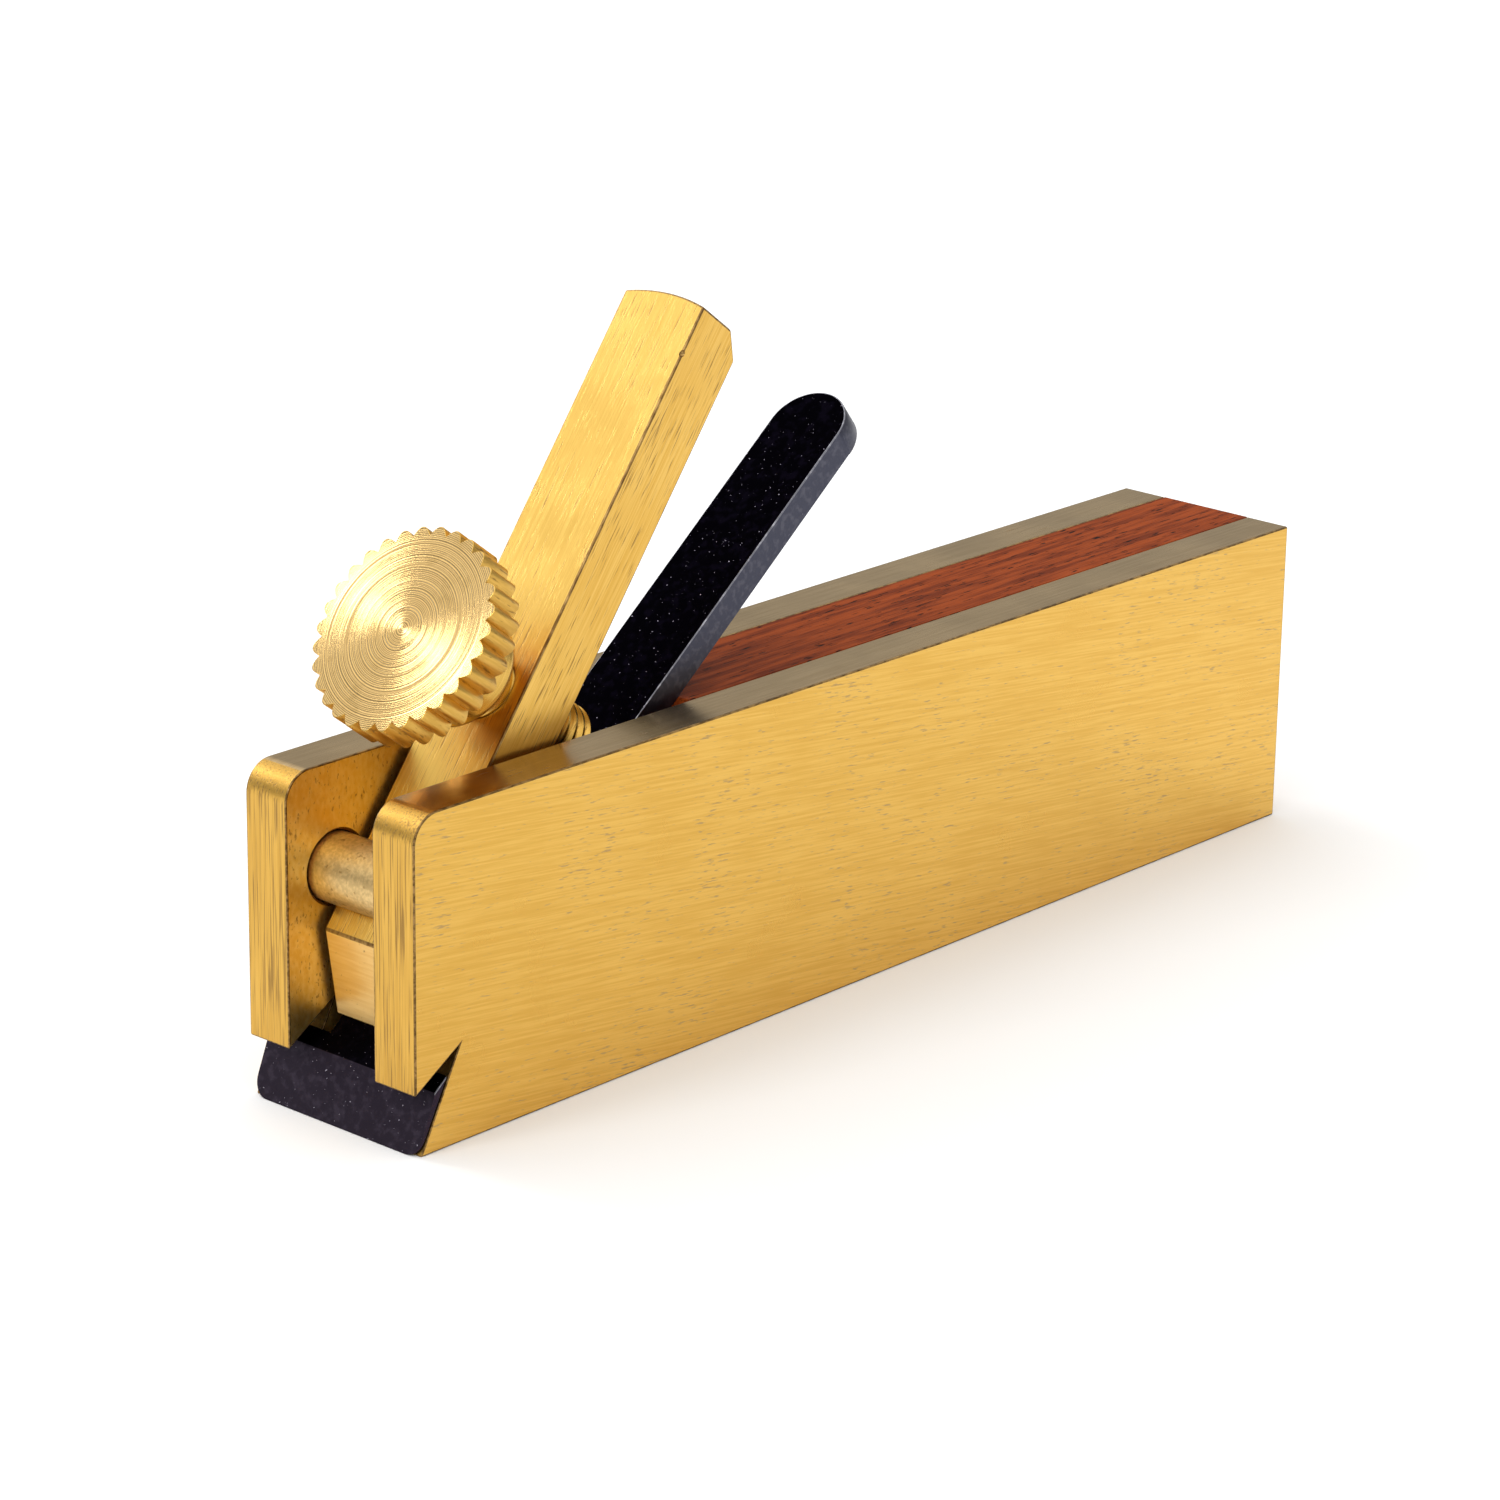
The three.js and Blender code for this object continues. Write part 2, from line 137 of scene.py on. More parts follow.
class Solid:
    """A closed mesh in the making, in millimetres in its working frame.

    Attributes:
        bm: The mesh.
    """

    def __init__(self) -> None:
        """Starts with nothing in it."""
        self.bm = bmesh.new()

    @classmethod
    def extruded(cls, corners: list[Vector], travel: Vector) -> "Solid":
        """A flat outline carried along a straight line.

        Args:
            corners: The outline's corners, in order.
            travel: How far, and which way, it is carried.

        Returns:
            The closed solid.
        """
        solid = cls()
        solid.pull(solid.bm.faces.new([solid.bm.verts.new(corner) for corner in corners]), travel)
        bmesh.ops.recalc_face_normals(solid.bm, faces=solid.bm.faces[:])
        return solid

    @classmethod
    def across(cls, outline: list[Point], low: float, high: float) -> "Solid":
        """A side-view outline extruded across the width."""
        return cls.extruded([Vector((low, y, z)) for y, z in outline], Vector((high - low, 0, 0)))

    @classmethod
    def raised(cls, outline: list[Point], low: float, high: float) -> "Solid":
        """A plan outline extruded upwards."""
        return cls.extruded([Vector((x, y, low)) for x, y in outline], Vector((0, 0, high - low)))

    @classmethod
    def turned(cls, profile: list[Point], steps: int) -> "Solid":
        """A profile turned about the z axis.

        Args:
            profile: Its (radius, height) points, from the axis back to the axis.
            steps: How many flats go round.

        Returns:
            The closed solid.
        """
        solid = cls()
        verts = [solid.bm.verts.new((radius, 0, height)) for radius, height in profile]
        edges = [solid.bm.edges.new(pair) for pair in pairwise(verts)]
        bmesh.ops.spin(solid.bm, geom=verts + edges, cent=(0, 0, 0), axis=(0, 0, 1), dvec=(0, 0, 0),
                       angle=2 * math.pi, steps=steps, use_merge=True)
        solid.close()
        return solid

    @classmethod
    def bar(cls, radius: float, low: float, high: float, steps: int, chamfer: float = 0.0) -> "Solid":
        """A round bar along z.

        Args:
            radius: Its radius.
            low: The height of one end.
            high: The height of the other end.
            steps: How many flats go round.
            chamfer: The chamfer on both ends.

        Returns:
            The closed solid.
        """
        profile = [(0, low), (radius - chamfer, low), (radius, low + chamfer),
                   (radius, high - chamfer), (radius - chamfer, high), (0, high)]
        return cls.turned(list(dict.fromkeys(profile)), steps)

    def lay_across(self, spot: Point) -> "Solid":
        """Turns a solid from the z axis to the x axis, and moves it in the side view."""
        self.move(Matrix.Translation((0, *spot)) @ Matrix.Rotation(math.radians(90), 4, "Y"))
        return self

    def pull(self, face: bmesh.types.BMFace,
             travel: Vector) -> tuple[list[bmesh.types.BMVert], bmesh.types.BMFace]:
        """Extrudes a face.

        Args:
            face: The face.
            travel: How far, and which way, it goes.

        Returns:
            The moved corners, and the face between them.
        """
        made = bmesh.ops.extrude_face_region(self.bm, geom=[face])["geom"]
        corners = [item for item in made if isinstance(item, bmesh.types.BMVert)]
        bmesh.ops.translate(self.bm, verts=corners, vec=travel)
        return corners, next(item for item in made if isinstance(item, bmesh.types.BMFace))

    def close(self) -> None:
        """Merges doubled corners, drops what that flattens, and turns every face outwards."""
        bmesh.ops.remove_doubles(self.bm, verts=self.bm.verts[:], dist=1e-4)
        bmesh.ops.dissolve_degenerate(self.bm, dist=1e-5, edges=self.bm.edges[:])
        bmesh.ops.recalc_face_normals(self.bm, faces=self.bm.faces[:])

    def move(self, matrix: Matrix) -> None:
        """Moves or turns the whole solid."""
        self.bm.transform(matrix)

    def bevel(self, width: float, segments: int, chosen: Callable[[bmesh.types.BMEdge], bool],
              zone: Zone = Zone.MAIN) -> None:
        """Rounds the chosen edges.

        Args:
            width: The bevel's width.
            segments: How many flats it has.
            chosen: Says whether an edge is rounded.
            zone: What kind of surface the rounding is.
        """
        edges = [edge for edge in self.bm.edges if chosen(edge)]
        made = bmesh.ops.bevel(self.bm, geom=edges, offset=width, offset_type="OFFSET", affect="EDGES",
                               segments=segments, profile=0.5, material=-1, clamp_overlap=True)
        for face in made["faces"]:
            face.material_index = zone

    def merge_flats(self) -> None:
        """Merges faces that lie in one plane, so that no short seam narrows a later bevel."""
        bmesh.ops.dissolve_limit(self.bm, angle_limit=FLAT_ANGLE, use_dissolve_boundaries=False,
                                 verts=self.bm.verts[:], edges=self.bm.edges[:])

    def coat(self, zone: Zone) -> "Solid":
        """Gives every face a zone, and returns the same solid."""
        for face in self.bm.faces:
            face.material_index = zone
        return self

    def paint(self, zone: Zone, chosen: Callable[[Vector, Vector], bool]) -> None:
        """Gives a zone to the chosen faces among those that have none yet.

        Args:
            zone: The kind of surface.
            chosen: Says whether a face, given its normal and centre, is of that kind.
        """
        for face in self.bm.faces:
            if face.material_index == Zone.MAIN and chosen(face.normal, face.calc_center_median()):
                face.material_index = zone

    def _stand_in(self) -> bpy.types.Object:
        """A scene object of the solid, for a join."""
        mesh = bpy.data.meshes.new("stand_in")
        self.bm.to_mesh(mesh)
        for zone in Zone:
            name = f"{SWATCH}{zone.name.lower()}"
            mesh.materials.append(bpy.data.materials.get(name) or bpy.data.materials.new(name))
        body = bpy.data.objects.new("stand_in", mesh)
        bpy.context.scene.collection.objects.link(body)
        return body

    def join(self, other: "Solid", how: Join) -> None:
        """Cuts this solid by another, adds the other to it, or keeps what they share.

        Args:
            other: The other solid.
            how: Which of the three it is.
        """
        bodies = [self._stand_in(), other._stand_in()]
        modifier = bodies[0].modifiers.new("join", "BOOLEAN")
        modifier.operation = how.value
        modifier.solver = "EXACT"
        modifier.object = bodies[1]
        result = bodies[0].evaluated_get(bpy.context.evaluated_depsgraph_get())
        self.bm.clear()
        self.bm.from_mesh(result.to_mesh())
        result.to_mesh_clear()
        for body in bodies:
            mesh = body.data
            bpy.data.objects.remove(body)
            bpy.data.meshes.remove(mesh)
        self.close()


def sharp(edge: bmesh.types.BMEdge) -> bool:
    """Whether an edge is an outer corner that is sharp enough to be eased."""
    return edge.is_convex and edge.calc_face_angle(0) > EASED_ANGLE


# ---------- Working frames ----------


@dataclass(frozen=True)
class Bearing:
    """A working frame in the side view: its origin in the row frame, and the angle of its y axis.

    Attributes:
        y: The origin's y, in metres.
        z: The origin's z, in metres.
        lean: The angle of its y axis above level, in degrees.
    """

    y: float
    z: float
    lean: float

    def matrix(self) -> Matrix:
        """The way from its millimetres to the row frame's metres."""
        turn = Matrix.Rotation(math.radians(self.lean), 4, "X")
        return Matrix.Translation((0, self.y, self.z)) @ turn @ Matrix.Scale(MM, 4)

    def lay(self, grain: tuple[float, float, float], twist: float = 0.0) -> "Lay":
        """A pattern laid in this frame, with marks of a given size."""
        return Lay((0, self.y, self.z), self.lean + twist, grain)


@dataclass(frozen=True)
class Lay:
    """How a pattern lies on a piece.

    Attributes:
        centre: The pattern's origin in the row frame, in metres.
        lean: The angle of its y axis above level, in degrees.
        grain: The size of its marks along x, y and z, in millimetres.
    """

    centre: tuple[float, float, float]
    lean: float
    grain: tuple[float, float, float]


def joint(name: str) -> dict:
    """The frame's joint of that name."""
    return next(item for item in frame["joints"] if item["name"] == name)


def lean_of(axis: list[float]) -> float:
    """The angle above level of the face that an axis in the side view stands square to, in degrees."""
    return math.degrees(math.atan2(-axis[1], axis[2]))


# ---------- Finishes ----------


class Signal:
    """A shader value that can be used in sums.

    Attributes:
        bench: The node tree that it is in.
        socket: The socket that gives it.
    """

    def __init__(self, bench: "Bench", socket: bpy.types.NodeSocket) -> None:
        """Wraps the socket that gives the value."""
        self.bench = bench
        self.socket = socket

    def _sum(self, operation: str, first: "Signal | float", second: "Signal | float") -> "Signal":
        """One Math node."""
        return self.bench.node("ShaderNodeMath", {"operation": operation}, {0: first, 1: second})

    def __add__(self, other: "Signal | float") -> "Signal":
        """This value and another together."""
        return self._sum("ADD", self, other)

    def __radd__(self, other: float) -> "Signal":
        """A number and this value together."""
        return self._sum("ADD", other, self)

    def __sub__(self, other: "Signal | float") -> "Signal":
        """This value less another."""
        return self._sum("SUBTRACT", self, other)

    def __mul__(self, other: "Signal | float") -> "Signal":
        """This value times another."""
        return self._sum("MULTIPLY", self, other)

    def __rmul__(self, other: float) -> "Signal":
        """A number times this value."""
        return self._sum("MULTIPLY", other, self)


class Bench:
    """A node tree in the making.

    Attributes:
        tree: The tree.
    """

    def __init__(self, tree: bpy.types.NodeTree) -> None:
        """Empties the tree of a material or a world."""
        self.tree = tree
        tree.nodes.clear()

    def add(self, kind: str, settings: dict[str, object],
            inputs: dict[str | int, object]) -> bpy.types.Node:
        """Adds a node, which nothing else does.

        Args:
            kind: The node's type.
            settings: Its settings; "stops" is a ramp's list of (position, colour).
            inputs: A value or a signal for each socket that is set, by name or place.

        Returns:
            The node.
        """
        node = self.tree.nodes.new(kind)
        for key, value in settings.items():
            if key == "stops":
                for element, (position, colour) in zip(node.color_ramp.elements, value, strict=True):
                    element.position = position
                    element.color = (*colour, 1)
            else:
                setattr(node, key, value)
        for key, value in inputs.items():
            if isinstance(value, Signal):
                self.tree.links.new(value.socket, node.inputs[key])
            else:
                node.inputs[key].default_value = value
        return node

    def node(self, kind: str, settings: dict[str, object], inputs: dict[str | int, object],
             output: str | int = 0) -> Signal:
        """Adds a node for one of its outputs."""
        return Signal(self, self.add(kind, settings, inputs).outputs[output])

    def coordinates(self, lay: Lay, grain: tuple[float, float, float] | None = None) -> Signal:
        """Object coordinates in a lay, counted in marks.

        Args:
            lay: The lay.
            grain: The size of the marks, in millimetres, when it isn't the lay's own.

        Returns:
            The coordinates.
        """
        place = self.node("ShaderNodeTexCoord", {}, {}, "Object")
        size = tuple(MM * length for length in grain or lay.grain)
        return self.node("ShaderNodeMapping", {"vector_type": "TEXTURE"}, {
            "Vector": place, "Location": lay.centre,
            "Rotation": (math.radians(lay.lean), 0, 0), "Scale": size})

    def noise(self, place: Signal, detail: float = 2.0) -> Signal:
        """Smooth noise with about one mark for each unit, from 0 to 1 around a half."""
        return self.node("ShaderNodeTexNoise", {"noise_dimensions": "3D"},
                         {"Vector": place, "Scale": 1.0, "Detail": detail}, "Fac")

    def above(self, value: Signal, low: float, high: float) -> Signal:
        """A soft step from 0 to 1."""
        return self.node("ShaderNodeMapRange", {"interpolation_type": "SMOOTHSTEP"},
                         {"Value": value, "From Min": low, "From Max": high})

    def blend(self, share: Signal, first: Signal | Colour, second: Signal | Colour) -> Signal:
        """A colour between two.

        Args:
            share: How much of the second there is.
            first: The first colour.
            second: The second colour.

        Returns:
            The colour.
        """
        colours = [c if isinstance(c, Signal) else (*c, 1) for c in (first, second)]
        return self.node("ShaderNodeMix", {"data_type": "RGBA", "clamp_factor": True},
                         {0: share, 6: colours[0], 7: colours[1]}, 2)

    def relief(self, height: Signal, depth: float) -> Signal:
        """A surface normal over fine relief."""
        return self.node("ShaderNodeBump", {}, {"Strength": 1.0, "Distance": depth * MM, "Height": height})


class Finish:
    """A finish, which makes its material the first time that it is asked for.

    Attributes:
        name: The material's name.
    """

    name: str

    def material(self) -> bpy.types.Material:
        """The finish's material.

        Returns:
            The material, made or found again.
        """
        material = bpy.data.materials.get(self.name)
        if material is None:
            material = bpy.data.materials.new(self.name)
            material.use_nodes = True
            bench = Bench(material.node_tree)
            shader = bench.node("ShaderNodeBsdfPrincipled", {}, self.sockets(bench), "BSDF")
            bench.add("ShaderNodeOutputMaterial", {}, {"Surface": shader})
        return material

    def sockets(self, bench: Bench) -> dict[str, object]:
        """What the shader's sockets take."""
        raise NotImplementedError


@dataclass(frozen=True)
class Brass(Finish):
    """Worked brass: streaks from the file or the belt, cloudy patches, and brown flecks.

    Attributes:
        name: The material's name.
        lay: How the streaks lie, with their size.
        tone: The metal's colour.
        pale_tone: The colour of its brighter streaks.
        fleck_tone: The colour of its tarnished flecks.
        flecks: How much of the surface they take, from 0 to 1.
        fleck_size: Their size along the lay's axes, in millimetres.
        roughness: The roughness between flecks.
        depth: The streaks' depth, in millimetres.
        cloud: The size of the cloudy patches, in millimetres.
    """

    name: str
    lay: Lay
    tone: Colour = (0.70, 0.405, 0.075)
    pale_tone: Colour = (0.82, 0.52, 0.13)
    fleck_tone: Colour = (0.30, 0.17, 0.05)
    flecks: float = 0.3
    fleck_size: tuple[float, float, float] = (0.25, 1.6, 0.25)
    roughness: float = 0.3
    depth: float = 0.012
    cloud: float = 5.0

    def sockets(self, bench: Bench) -> dict[str, object]:
        """What the shader's sockets take.

        Args:
            bench: The material's node tree.

        Returns:
            Their values and signals, by name.
        """
        streaks = bench.noise(bench.coordinates(self.lay), 3.0)
        clouds = bench.noise(bench.coordinates(self.lay, (self.cloud,) * 3), 3.0)
        threshold = 0.72 - 0.3 * self.flecks
        spots = bench.noise(bench.coordinates(self.lay, self.fleck_size), 2.0)
        flecked = bench.above(spots + 0.35 * (clouds - 0.5), threshold, threshold + 0.14)
        bright = bench.above(streaks * 0.7 + clouds * 0.3, 0.36, 0.64)
        colour = bench.blend(bright, self.tone, self.pale_tone)
        colour = bench.blend(flecked * 0.8, colour, self.fleck_tone)
        roughness = self.roughness + 0.16 * (clouds - 0.5) + 0.12 * flecked
        return {"Base Color": colour, "Metallic": 1.0, "Roughness": roughness,
                "Normal": bench.relief(streaks - 0.6 * flecked, self.depth)}


@dataclass(frozen=True)
class TurnedBrass(Finish):
    """Brass faced on a lathe, with fine rings about the screw's axis.

    Attributes:
        name: The material's name.
        lay: The pattern's lay, whose z axis is the lathe's axis.
        pitch: The rings' spacing, in millimetres.
        depth: Their depth, in millimetres.
        tone: The metal's colour.
        dull_tone: The colour of its cloudier patches.
        roughness: The roughness.
        patch: The size of those patches, in millimetres.
    """

    name: str
    lay: Lay
    pitch: float = 0.08
    depth: float = 0.036
    tone: Colour = (0.64, 0.43, 0.17)
    dull_tone: Colour = (0.54, 0.355, 0.13)
    roughness: float = 0.25
    patch: float = 1.2

    def sockets(self, bench: Bench) -> dict[str, object]:
        """What the shader's sockets take.

        Args:
            bench: The material's node tree.

        Returns:
            Their values and signals, by name.
        """
        place = bench.coordinates(self.lay)
        flat = bench.node("ShaderNodeVectorMath", {"operation": "MULTIPLY"}, {0: place, 1: (1, 1, 0)})
        radius = bench.node("ShaderNodeVectorMath", {"operation": "LENGTH"}, {0: flat}, "Value")
        rings = bench.node("ShaderNodeTexNoise", {"noise_dimensions": "1D"},
                           {"W": radius * (1 / self.pitch), "Scale": 1.0, "Detail": 0.0}, "Fac")
        patches = bench.noise(bench.coordinates(self.lay, (self.patch,) * 3), 4.0)
        colour = bench.blend(bench.above(patches, 0.5, 0.75), self.tone, self.dull_tone)
        return {"Base Color": colour, "Metallic": 1.0,
                "Roughness": self.roughness + 0.08 * (patches - 0.5),
                "Normal": bench.relief(rings, self.depth)}


@dataclass(frozen=True)
class Oxide(Finish):
    """Blackened steel, with worn specks and the odd scratch.

    Attributes:
        name: The material's name.
        lay: How the scratches lie.
        tone: The oxide's colour.
        bloom_tone: The colour of its cloudier patches.
        worn_tone: The colour of the steel that shows through.
        wear: How much shows through, from 0 to 1.
        roughness: The roughness.
        glance: How bright it is when seen at a low angle, from 0 to 1.
        depth: The relief's depth, in millimetres.
        patch: The size of the patches, in millimetres.
        speck: The size of the specks, in millimetres.
    """

    name: str
    lay: Lay
    tone: Colour = (0.0022, 0.0018, 0.003)
    bloom_tone: Colour = (0.005, 0.004, 0.0075)
    worn_tone: Colour = (0.45, 0.42, 0.5)
    wear: float = 0.25
    roughness: float = 0.42
    glance: float = 1.0
    depth: float = 0.02
    patch: float = 0.5
    speck: float = 0.14

    def sockets(self, bench: Bench) -> dict[str, object]:
        """What the shader's sockets take.

        Args:
            bench: The material's node tree.

        Returns:
            Their values and signals, by name.
        """
        patches = bench.noise(bench.coordinates(self.lay, (self.patch,) * 3), 4.0)
        specks = bench.noise(bench.coordinates(self.lay, (self.speck,) * 3), 1.0)
        scratches = bench.noise(bench.coordinates(self.lay), 1.0)
        edge = 0.86 - 0.2 * self.wear
        worn = bench.above(specks, edge - 0.06, edge) + bench.above(scratches, edge - 0.02, edge + 0.04)
        colour = bench.blend(bench.above(patches, 0.45, 0.7), self.tone, self.bloom_tone)
        colour = bench.blend(worn, colour, self.worn_tone)
        return {"Base Color": colour, "Metallic": 1.0,
                "Roughness": self.roughness + 0.2 * (patches - 0.5),
                "Specular Tint": (self.glance,) * 3 + (1,),
                "Normal": bench.relief(patches + worn * -0.5, self.depth)}


@dataclass(frozen=True)
class Rosewood(Finish):
    """Oiled rosewood: straight darker figure along the body, and short open pores.

    Attributes:
        name: The material's name.
        lay: How the grain lies, with the size of the figure.
        tone: The wood's colour.
        figure_tone: The colour of its darker figure.
        pore_tone: The colour of its pores.
        fibre_size: The size of the fibres along the lay's axes, in millimetres.
        pore_size: The size of the pores, in the same way.
        roughness: The roughness.
        shine: The strength of its reflections, from 0 to 1.
        depth: The relief's depth, in millimetres.
    """

    name: str
    lay: Lay
    tone: Colour = (0.29, 0.052, 0.008)
    figure_tone: Colour = (0.14, 0.022, 0.004)
    pore_tone: Colour = (0.012, 0.004, 0.003)
    fibre_size: tuple[float, float, float] = (0.09, 2.5, 0.09)
    pore_size: tuple[float, float, float] = (0.11, 1.1, 0.11)
    roughness: float = 0.42
    shine: float = 0.03
    depth: float = 0.03

    def sockets(self, bench: Bench) -> dict[str, object]:
        """What the shader's sockets take.

        Args:
            bench: The material's node tree.

        Returns:
            Their values and signals, by name.
        """
        figure = bench.noise(bench.coordinates(self.lay), 4.0)
        fibres = bench.noise(bench.coordinates(self.lay, self.fibre_size), 2.0)
        holes = bench.noise(bench.coordinates(self.lay, self.pore_size), 0.0)
        pores = bench.above(holes + 0.25 * (figure - 0.5), 0.7, 0.78)
        colour = bench.blend(bench.above(0.75 * figure + 0.25 * fibres, 0.4, 0.62), self.tone,
                             self.figure_tone)
        colour = bench.blend(0.35 * bench.above(fibres, 0.5, 0.7), colour, self.figure_tone)
        colour = bench.blend(pores, colour, self.pore_tone)
        return {"Base Color": colour, "Metallic": 0.0,
                "Roughness": self.roughness + 0.2 * (fibres - 0.5),
                "Specular IOR Level": self.shine,
                "Normal": bench.relief(fibres * 0.4 - pores, self.depth)}


@dataclass(frozen=True)
class Paper(Finish):
    """The matt pale sheet that the plane stands on.

    Attributes:
        name: The material's name.
        tone: Its colour.
        roughness: The roughness.
    """

    name: str = "pale_floor"
    tone: Colour = (0.93, 0.93, 0.93)
    roughness: float = 0.9

    def sockets(self, bench: Bench) -> dict[str, object]:
        """What the shader's sockets take."""
        return {"Base Color": (*self.tone, 1), "Roughness": self.roughness, "Specular IOR Level": 0.0}


# ---------- Placing ----------


def place(solids: dict[str, Solid], node: str, slot: str, bearing: Bearing,
          finishes: dict[Zone, Finish]) -> None:
    """Turns a solid into a finished piece that stands for a node of the frame.

    Args:
        solids: An assembly's solids, by their nodes.
        node: The node.
        slot: The record's material slot; not used.
        bearing: The assembly's working frame.
        finishes: The finish of each of the solid's zones.
    """
    bm = solids[node].bm
    bm.transform(bearing.matrix())
    zones = sorted({face.material_index for face in bm.faces})
    for face in bm.faces:
        face.material_index = zones.index(face.material_index)
    name = f"{node}_worked"
    mesh = bpy.data.meshes.new(name)
    bm.to_mesh(mesh)
    bm.free()
    for zone in zones:
        mesh.materials.append(finishes[Zone(zone)].material())
    mesh.shade_smooth()
    mesh.set_sharp_from_angle(angle=CREASE_ANGLE)
    piece = bpy.data.objects.new(name, mesh)
    bpy.context.scene.collection.objects.link(piece)
    weighting = piece.modifiers.new("flat faces", "WEIGHTED_NORMAL")
    weighting.keep_sharp = True
    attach(piece, frame["nodes"][node]["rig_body"])
    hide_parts(node)
    log.info("%s: %d faces, %d finishes", name, len(mesh.polygons), len(zones))


# ---------- Body ----------


@dataclass
class Stock:
    """The body: two cheeks, the sole bar, the rosewood infill, the fulcrum pin and the hidden dowels.

    Attributes:
        corner_radius: The round of the cheeks' top front corner.
        arris: The width of the eased edges.
        mouth_tip: How far back the mouth's rear wall starts on the sole.
        mouth_height: How high the mouth reaches.
        mouth_rear_angle: The angle of its rear wall above level, in degrees.
        mouth_roof_angle: The angle of its roof above level, in degrees.
        bed_gap: The gap between the iron and its bed.
        sole_tip: The height of the sole bar's blunt front end.
        seat_depth: The depth of the blind seats in the cheeks.
        seat_gap: The gap round the fulcrum pin in its seats.
        seat_chamfer: The chamfer round those seats and on the pin.
        seat_end_gap: The gap between the pin's ends and the seats' floors.
        dowel_gap: The gap round a dowel.
        streak_fall: The angle at which the sides' streaks fall towards the heel, in degrees.
        bearing: The body's working frame.
    """

    corner_radius: float = 1.7
    arris: float = 0.1
    mouth_tip: float = 0.36
    mouth_height: float = 5.519
    mouth_rear_angle: float = 62.5
    mouth_roof_angle: float = 31.8
    bed_gap: float = 0.05
    sole_tip: float = 0.3
    seat_depth: float = 2.0
    seat_gap: float = 0.08
    seat_chamfer: float = 0.15
    seat_end_gap: float = 0.1
    dowel_gap: float = 0.05
    streak_fall: float = 6.5
    bearing: Bearing = field(init=False)

    def __post_init__(self) -> None:
        """Reads the outer sizes from the frame, in millimetres."""
        low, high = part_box("right_cheek")
        core_low, core_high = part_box("sole_bar")
        self.bearing = Bearing(low.y, low.z, 0)
        self.length = (high.y - low.y) / MM
        self.height = (high.z - low.z) / MM
        self.outer = high.x / MM
        self.inner = core_high.x / MM
        self.sole_height = (core_high.z - core_low.z) / MM
        edge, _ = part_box("cutting_iron")
        self.bed_lean = lean_of(joint("iron_slide")["axis"]) - 90
        self.edge = ((edge.y - low.y) / MM, edge.z / MM)

    def bed_at(self, height: float) -> float:
        """How far back the bed is at a height above the sole."""
        lean = math.radians(self.bed_lean)
        foot = self.edge[0] + self.bed_gap * math.sin(lean)
        return foot + (height - self.edge[1] + self.bed_gap * math.cos(lean)) / math.tan(lean)

    def _bar_of(self, node: str) -> tuple[float, Point]:
        """A cross bar's radius and its axis's place in the side view, in millimetres."""
        low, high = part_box(node)
        y = (low.y + high.y) / 2 - self.bearing.y
        return (high.z - low.z) / 2 / MM, (y / MM, (low.z + high.z) / 2 / MM)

    def _drill(self, solid: Solid, reach: float, bottom: float, top: float) -> None:
        """Drills a solid for the dowels that go through it.

        Args:
            solid: The solid.
            reach: How far each hole goes to either side.
            bottom: The height of the solid's underside.
            top: The height of its top.
        """
        for node in sorted(frame["nodes"]):
            if node.endswith(DOWEL):
                radius, spot = self._bar_of(node)
                if bottom < spot[1] < top:
                    hole = Solid.bar(radius + self.dowel_gap, -reach, reach, HIDDEN_FLATS)
                    solid.join(hole.lay_across(spot), Join.CUT)

    def cheek(self, side: int) -> Solid:
        """One cheek plate.

        Args:
            side: 1 for the right cheek and -1 for the left.

        Returns:
            The solid.
        """
        apex = self.mouth_tip + self.mouth_height / math.tan(math.radians(self.mouth_rear_angle))
        roof = self.mouth_height - apex * math.tan(math.radians(self.mouth_roof_angle))
        outline = [(self.mouth_tip, 0), (self.length, 0), (self.length, self.height), (0, self.height),
                   (0, roof), (apex, self.mouth_height)]
        low, high = sorted((side * self.inner, side * self.outer))
        plate = Solid.across(outline, low, high)

        def top_front(edge: bmesh.types.BMEdge) -> bool:
            """Whether an edge is the one along the top front corner."""
            return all(v.co.y < TOUCH and v.co.z > self.height - TOUCH for v in edge.verts)

        plate.bevel(self.corner_radius, CORNER_FLATS, top_front)
        plate.bevel(self.arris, 2, sharp, Zone.ARRIS)
        plate.paint(Zone.SIDE, lambda normal, centre: normal.x * side > SQUARE)
        plate.paint(Zone.INNER, lambda normal, centre: normal.x * side < -SQUARE)
        plate.paint(Zone.TOP, lambda normal, centre: normal.z > SQUARE)
        # Faces that look down under the mouth's roof take the mouth's painted shade.
        plate.paint(Zone.MOUTH, lambda normal, centre: (
            normal.z < -TILTED and TOUCH < centre.y < apex and centre.z < self.mouth_height))
        plate.paint(Zone.FRONT, lambda normal, centre: abs(normal.y) > TILTED)
        radius, spot = self._bar_of("fulcrum_pin")
        wide, floor = radius + self.seat_gap, self.inner + self.seat_depth
        half = [(0, floor), (wide, floor), (wide, self.inner + self.seat_chamfer),
                (wide + self.seat_chamfer, self.inner)]
        seat = Solid.turned([(r, -x) for r, x in half] + half[::-1], SHOWN_FLATS)
        plate.join(seat.lay_across(spot).coat(Zone.FRONT), Join.CUT)
        self._drill(plate, floor, 0, self.height)
        return plate

    def core(self, bottom: float, top: float, tip: float) -> Solid:
        """A core piece between the cheeks, cut to the bed at its front.

        Args:
            bottom: The height of its underside.
            top: The height of its top.
            tip: The height of its blunt front end.

        Returns:
            The solid.
        """
        outline = [(self.bed_at(bottom + tip), bottom), (self.length, bottom), (self.length, top),
                   (self.bed_at(top), top)]
        if tip > 0:
            outline.append((self.bed_at(bottom + tip), bottom + tip))
        block = Solid.across(outline, -self.inner, self.inner)
        block.bevel(self.arris / 2, 1, sharp)
        self._drill(block, self.inner + OVERLAP, bottom, top)
        return block

